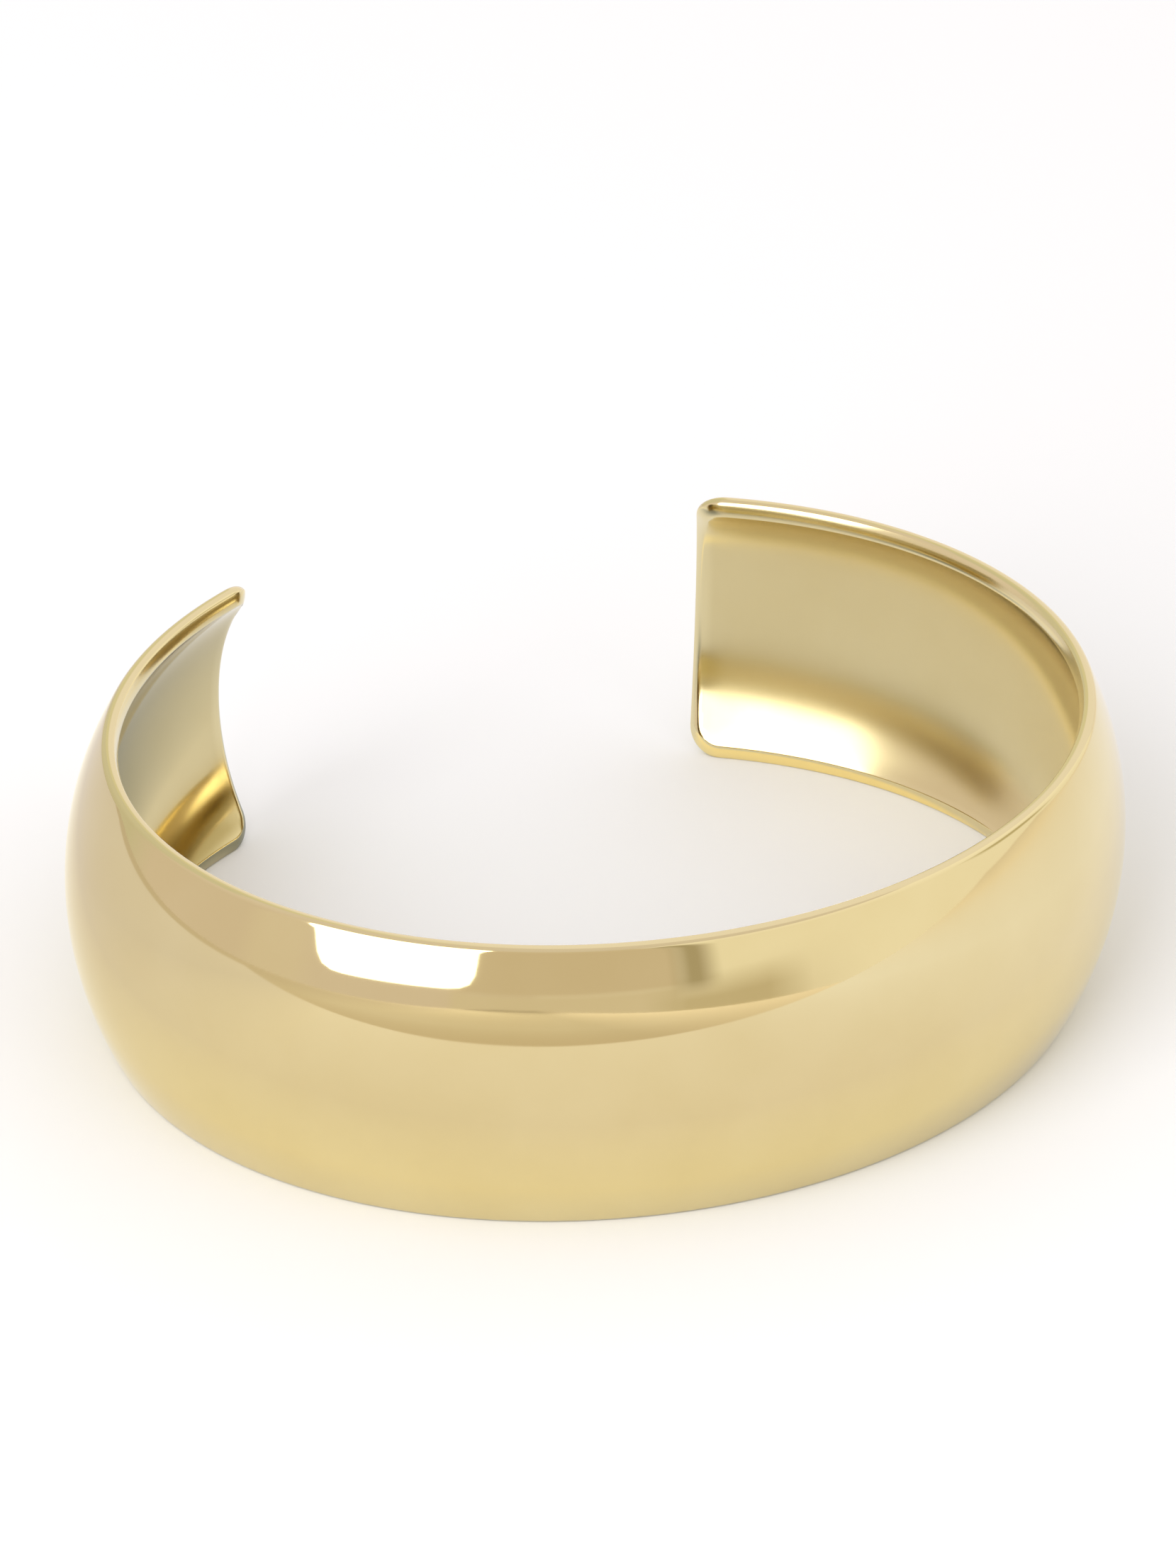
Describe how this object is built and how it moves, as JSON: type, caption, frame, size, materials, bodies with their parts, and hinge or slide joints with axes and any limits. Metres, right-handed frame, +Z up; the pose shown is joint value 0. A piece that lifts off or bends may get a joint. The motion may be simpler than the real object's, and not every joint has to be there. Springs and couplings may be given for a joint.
{
  "type": "open cuff bangle",
  "caption": "Plain domed open cuff bangle: one wide polished gold-tone band bent into an oval, with an open mouth and round-cornered ends.",
  "frame": {"origin": "on the surface that the lower rim rests on, under the middle of the cuff's outer box", "axes": "+Z up along the wrist, +X across the cuff's width, +Y from the front of the band towards the open mouth"},
  "size_m": [0.064, 0.0506, 0.0189],
  "materials": {
    "polished_gold": "mirror-polished pale yellow gold plate over brass"
  },
  "bodies": {
    "root": {"cuff": "polished_gold"}
  },
  "joints": []
}
